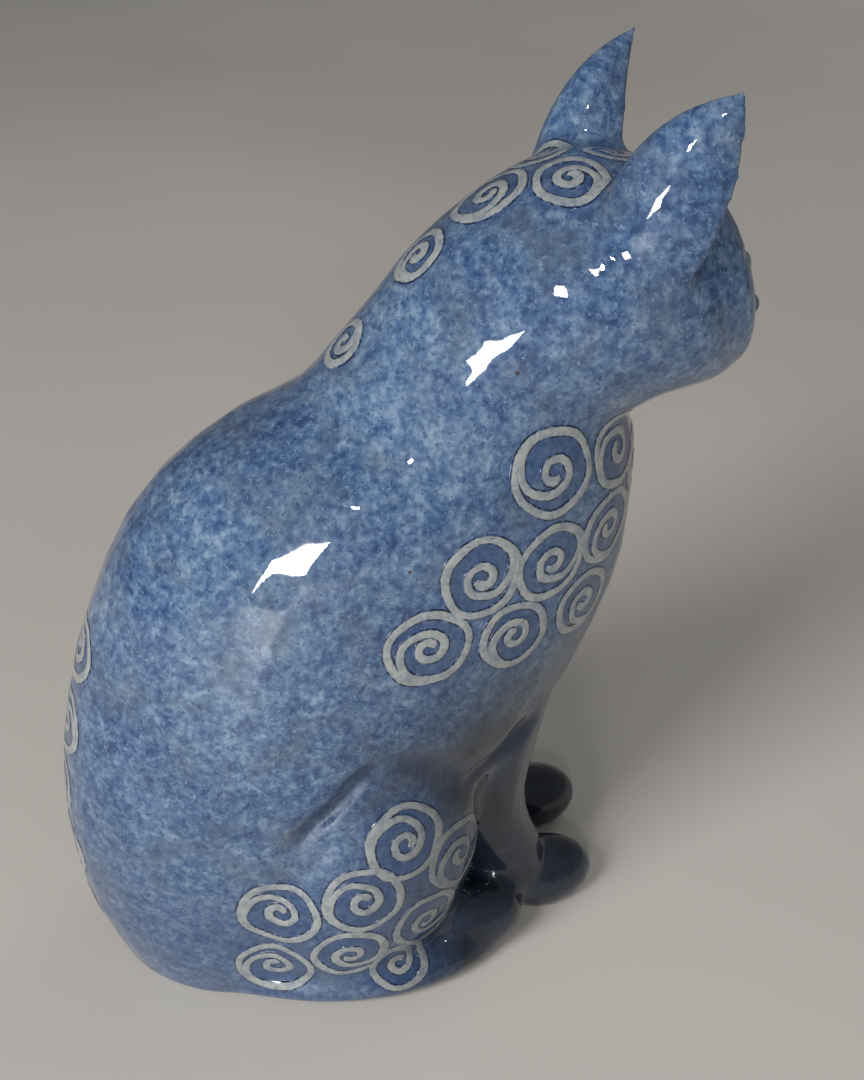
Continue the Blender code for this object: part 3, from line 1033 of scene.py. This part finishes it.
def pellet(node, tree, sink, glaze):
    """A small pellet of clay, such as an eye or the nose, pressed in by sink."""
    bm = clay_copy(node)
    outward = tree.find_nearest(middle_of(bm.verts))[1]
    bmesh.ops.translate(bm, vec=outward * -sink, verts=bm.verts)
    piece = bmesh_object("glazed_" + node, bm, glaze)
    rounding = piece.modifiers.new("rounding", "SUBSURF")
    rounding.levels = PELLET_ROUNDING
    rounding.render_levels = PELLET_ROUNDING
    settle(piece)
    piece.data.shade_smooth()
    add_mark(piece, "shade", [PELLET_SHADE] * len(piece.data.vertices))
    return piece


# --- Stage ------------------------------------------------------------------------------

FLOOR_HALF = 4.0
FLOOR_CLOUD_SIZE = 0.35
CAMERA_PLACE = (-0.2464, 0.0368, 0.286)
CAMERA_AZIMUTH = -107.0
CAMERA_DOWN = 34.4
CAMERA_ROLL = -0.7
LENS = 44.67
SENSOR = 36.0
CLIP_START = 0.01
SKY_COLOUR = (0.86, 0.88, 0.90, 1)
SKY_STRENGTH = 0.16

# What the lamps point at
CAT_MIDDLE = Vector((0, -0.02, 0.11))

# Lamps that light the cat and don't mirror in it: place, size and watts
SOFT_LAMPS = {
    "soft_key": ((-0.60, 1.05, 1.00), 0.6, 19.5),
    "soft_fill": ((-1.2, -0.9, 0.9), 0.9, 1.0),
    "soft_front": ((0.9, -1.4, 0.9), 0.9, 5.0),
}

# Lamps that mirror in the glaze: direction from the middle, width, height and watts
BRIGHT_LAMPS = {
    "bright_a": ((-0.89, 0.44, 0.10), 0.19, 0.19, 5.0),
    "bright_b": ((-0.82, 0.29, 0.50), 0.07, 0.10, 1.2),
    "bright_c": ((-0.74, 0.04, 0.67), 0.05, 0.04, 0.5),
}
BRIGHT_DISTANCE = 1.1


def floor():
    bm = bmesh.new()
    bmesh.ops.create_grid(bm, x_segments=8, y_segments=8, size=FLOOR_HALF)
    piece = bmesh_object("floor", bm, pale_floor())


def camera():
    data = bpy.data.cameras.new("camera")
    data.lens = LENS
    data.sensor_width = SENSOR
    data.clip_start = CLIP_START
    obj = bpy.data.objects.new("camera", data)
    bpy.context.collection.objects.link(obj)
    azimuth, down, roll = map(math.radians, (CAMERA_AZIMUTH, CAMERA_DOWN, CAMERA_ROLL))
    level = Vector((-math.sin(azimuth), math.cos(azimuth), 0)) * math.cos(down)
    ahead = level - Vector((0, 0, math.sin(down)))
    obj.rotation_mode = "QUATERNION"
    obj.rotation_quaternion = (
        ahead.to_track_quat("-Z", "Y") @ Matrix.Rotation(-roll, 3, "Z").to_quaternion()
    )
    obj.location = CAMERA_PLACE
    bpy.context.scene.camera = obj


def lamp(name, place, width, height, power):
    data = bpy.data.lights.new(name, "AREA")
    data.shape = "RECTANGLE"
    data.size = width
    data.size_y = height
    data.energy = power
    obj = bpy.data.objects.new(name, data)
    bpy.context.collection.objects.link(obj)
    obj.location = place
    obj.rotation_mode = "QUATERNION"
    obj.rotation_quaternion = (CAT_MIDDLE - Vector(place)).to_track_quat("-Z", "Y")
    return obj


def lights():
    world = bpy.data.worlds.new("studio")
    bpy.context.scene.world = world
    world.use_nodes = True
    background = world.node_tree.nodes["Background"]
    background.inputs["Color"].default_value = SKY_COLOUR
    background.inputs["Strength"].default_value = SKY_STRENGTH
    for name, (place, size, power) in SOFT_LAMPS.items():
        lamp(name, place, size, size, power).visible_glossy = False
    for name, (towards, width, height, power) in BRIGHT_LAMPS.items():
        lamp(name, CAT_MIDDLE + Vector(towards) * BRIGHT_DISTANCE, width, height, power)


def clay_body():
    """The smooth, grooved and marked body, and the node that each of its vertices belongs to."""
    body = joined_clay()
    owners, joints = sort_by_node(body, node_trees())
    sponge_joints(body, joints)
    press_grooves(body)
    body.data.update()
    fit_in_frame(body)
    trim_barbs(body)
    body.data.shade_smooth()
    mark_hollows(body)
    mark_smoke_and_shade(body)
    return body, owners


def trail_spirals(body, tree):
    """Lays every group of spirals, each with its own seed."""
    slip = white_slip()
    fields = []
    decorations = []
    for name, clusters, seed in (
        ("chest_spirals", (("right", CHEST), ("left", mirrored(CHEST)), ("front", BREAST)), 11),
        ("hip_spirals", (("right", HIP), ("left", mirrored(HIP))), 23),
        ("nape_spirals", (("above", NAPE),), 37),
        ("back_spirals", (("behind", LOWER_BACK),), 41),
    ):
        piece, rings = spiral_group(name, tree, clusters, slip, seed)
        decorations.append(piece)
        fields += rings
    mark_fields(body, fields)
    return decorations


def main():
    bpy.context.scene.view_settings.view_transform = "Standard"
    glaze = blue_glaze()
    body, owners = clay_body()
    tree = tree_of(body)
    decorations = trail_spirals(body, tree)
    pieces = part_out(body, owners, tree, glaze)
    for node, sink in (("left_eye", EYE_SINK), ("right_eye", EYE_SINK), ("nose", 0.0)):
        pieces[node] = pellet(node, tree, sink, glaze)
    for node, piece in pieces.items():
        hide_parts(node)
    for piece in [*pieces.values(), *decorations]:
        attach(piece, "root")
    clay = bare_clay()
    for material_slot in frame["nodes"]["base_slab"].material_slots:
        material_slot.material = clay

    floor()
    camera()
    lights()


main()
